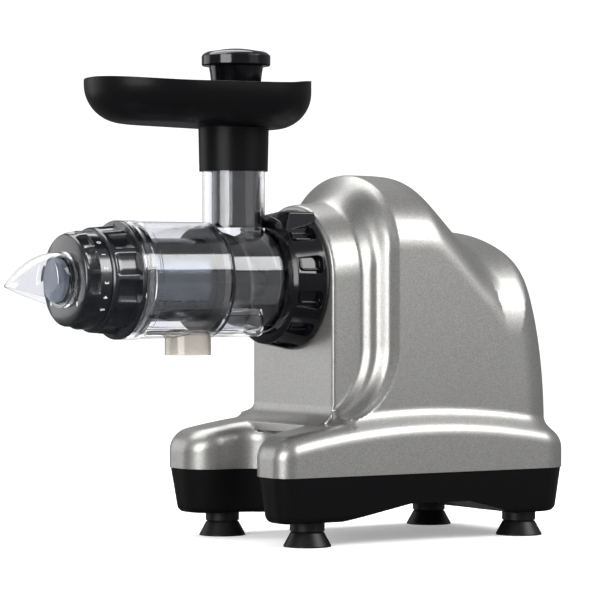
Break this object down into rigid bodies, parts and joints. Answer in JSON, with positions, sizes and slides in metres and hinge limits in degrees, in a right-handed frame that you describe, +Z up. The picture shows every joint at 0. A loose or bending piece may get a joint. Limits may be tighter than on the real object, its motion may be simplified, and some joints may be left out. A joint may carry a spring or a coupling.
{
  "type": "cold press juicer",
  "caption": "Horizontal cold press juicer: clear pressing drum with lock ring, pressure dial, pulp spout, feed tray and pusher on a silver motor housing with forked base.",
  "frame": {"origin": "under the middle of the overall length and width, on the plane the feet stand on", "axes": "+X along the auger from the pulp spout toward the back of the motor housing, +Y to the juicer's left seen from the spout looking at the motor, +Z up"},
  "size_m": [0.4718, 0.18, 0.3866],
  "materials": {
    "silver_paint": "satin metallic silver paint",
    "gloss_black": "moulded gloss black",
    "rubber_black": "moulded",
    "zinc_steel": "zinc plated",
    "clear_plastic": "clear moulded plastic, faintly smoky",
    "milky_plastic": "translucent beige",
    "screen_steel": "dark, fine slots",
    "dark_plastic": "moulded dark grey",
    "charcoal_plastic": "satin charcoal",
    "slate_plastic": "satin slate grey",
    "cast_aluminium": "as cast",
    "bronze": "sintered bronze",
    "core_steel": "laminated, varnished",
    "copper_wire": "enamelled copper winding",
    "gear_steel": "hobbed and hardened"
  },
  "bodies": {
    "machine": {"base_pan": "gloss_black", "upper_housing": "silver_paint", "foot_front_left": "rubber_black", "foot_front_right": "rubber_black", "foot_rear_left": "rubber_black", "foot_rear_right": "rubber_black", "base_screws": "zinc_steel", "bayonet_collar": "dark_plastic", "collar_screws": "zinc_steel", "drum_body": "clear_plastic", "drum_seal": "rubber_black", "juice_outlet": "milky_plastic", "juicing_screen": "screen_steel", "screen_ring": "dark_plastic", "gearbox_case": "cast_aluminium", "gearbox_cover": "cast_aluminium", "gearbox_screws": "zinc_steel", "drive_shaft_front_bush": "bronze", "drive_shaft_rear_bush": "bronze", "countershaft_front_bush": "bronze", "countershaft_rear_bush": "bronze", "drive_shaft_seal": "rubber_black", "stator_core": "core_steel", "stator_windings": "copper_wire", "motor_front_bracket": "cast_aluminium", "motor_rear_bracket": "cast_aluminium", "motor_front_bearing": "zinc_steel", "motor_rear_bearing": "zinc_steel", "motor_bolts": "zinc_steel", "motor_mount": "zinc_steel", "run_capacitor": "cast_aluminium", "capacitor_clamp": "zinc_steel", "switch_bezel": "gloss_black", "mains_inlet": "gloss_black", "inlet_pins": "zinc_steel"},
    "lock_ring": {"lock_ring": "gloss_black"},
    "auger": {"auger": "dark_plastic", "auger_drive_insert": "zinc_steel"},
    "drive_shaft": {"drive_shaft": "zinc_steel", "output_gear": "gear_steel"},
    "countershaft": {"countershaft": "zinc_steel", "second_stage_pinion": "gear_steel", "first_stage_gear": "gear_steel"},
    "rotor": {"motor_shaft": "zinc_steel", "rotor_core": "core_steel", "motor_pinion": "gear_steel", "cooling_fan": "dark_plastic"},
    "end_cap": {"end_cap": "charcoal_plastic", "cap_seal": "rubber_black"},
    "pressure_dial": {"pressure_dial": "charcoal_plastic"},
    "pulp_plug": {"pulp_plug": "slate_plastic"},
    "pulp_spout": {"pulp_spout": "clear_plastic"},
    "hopper_tray": {"hopper_tray": "gloss_black"},
    "pusher": {"pusher_body": "gloss_black", "pusher_knob": "gloss_black"},
    "switch_rocker": {"switch_rocker": "gloss_black"}
  },
  "joints": [
    {"name": "rotor_spin", "type": "hinge", "parent": "machine", "child": "rotor", "pos_m": [0.13732, 0, 0.12035], "axis": [1, 0, 0], "continuous": true},
    {"name": "countershaft_spin", "type": "hinge", "parent": "machine", "child": "countershaft", "pos_m": [0.05432, 0, 0.1591], "axis": [1, 0, 0], "continuous": true},
    {"name": "drive_shaft_spin", "type": "hinge", "parent": "machine", "child": "drive_shaft", "pos_m": [0.05432, 0, 0.2056], "axis": [1, 0, 0], "continuous": true},
    {"name": "auger_spin", "type": "hinge", "parent": "machine", "child": "auger", "pos_m": [-0.07568, 0, 0.2056], "axis": [1, 0, 0], "continuous": true},
    {"name": "lock_ring_turn", "type": "hinge", "parent": "machine", "child": "lock_ring", "pos_m": [0.00432, 0, 0.2056], "axis": [1, 0, 0], "range_deg": [0, 45]},
    {"name": "end_cap_turn", "type": "hinge", "parent": "machine", "child": "end_cap", "pos_m": [-0.14568, 0, 0.2056], "axis": [-1, 0, 0], "range_deg": [0, 30]},
    {"name": "dial_turn", "type": "hinge", "parent": "end_cap", "child": "pressure_dial", "pos_m": [-0.17568, 0, 0.2056], "axis": [-1, 0, 0], "range_deg": [0, 85]},
    {"name": "plug_slide", "type": "slide", "parent": "end_cap", "child": "pulp_plug", "axis": [1, 0, 0], "range_m": [0, 0.0036]},
    {"name": "spout_pull", "type": "slide", "parent": "end_cap", "child": "pulp_spout", "axis": [-1, 0, 0], "range_m": [0, 0.025]},
    {"name": "tray_lift", "type": "slide", "parent": "machine", "child": "hopper_tray", "axis": [0, 0, 1], "range_m": [0, 0.03]},
    {"name": "pusher_slide", "type": "slide", "parent": "machine", "child": "pusher", "axis": [0, 0, 1], "range_m": [0, 0.07]},
    {"name": "switch_rock", "type": "hinge", "parent": "machine", "child": "switch_rocker", "pos_m": [0.22232, 0, 0.124], "axis": [0, 1, 0], "range_deg": [-10, 10]}
  ],
  "couplings": [
    {"joint": "countershaft_spin", "follows": "rotor_spin", "ratio": -0.24},
    {"joint": "drive_shaft_spin", "follows": "rotor_spin", "ratio": 0.0576},
    {"joint": "auger_spin", "follows": "rotor_spin", "ratio": 0.0576},
    {"joint": "plug_slide", "follows": "dial_turn", "m_per_rad": 0.002426}
  ]
}
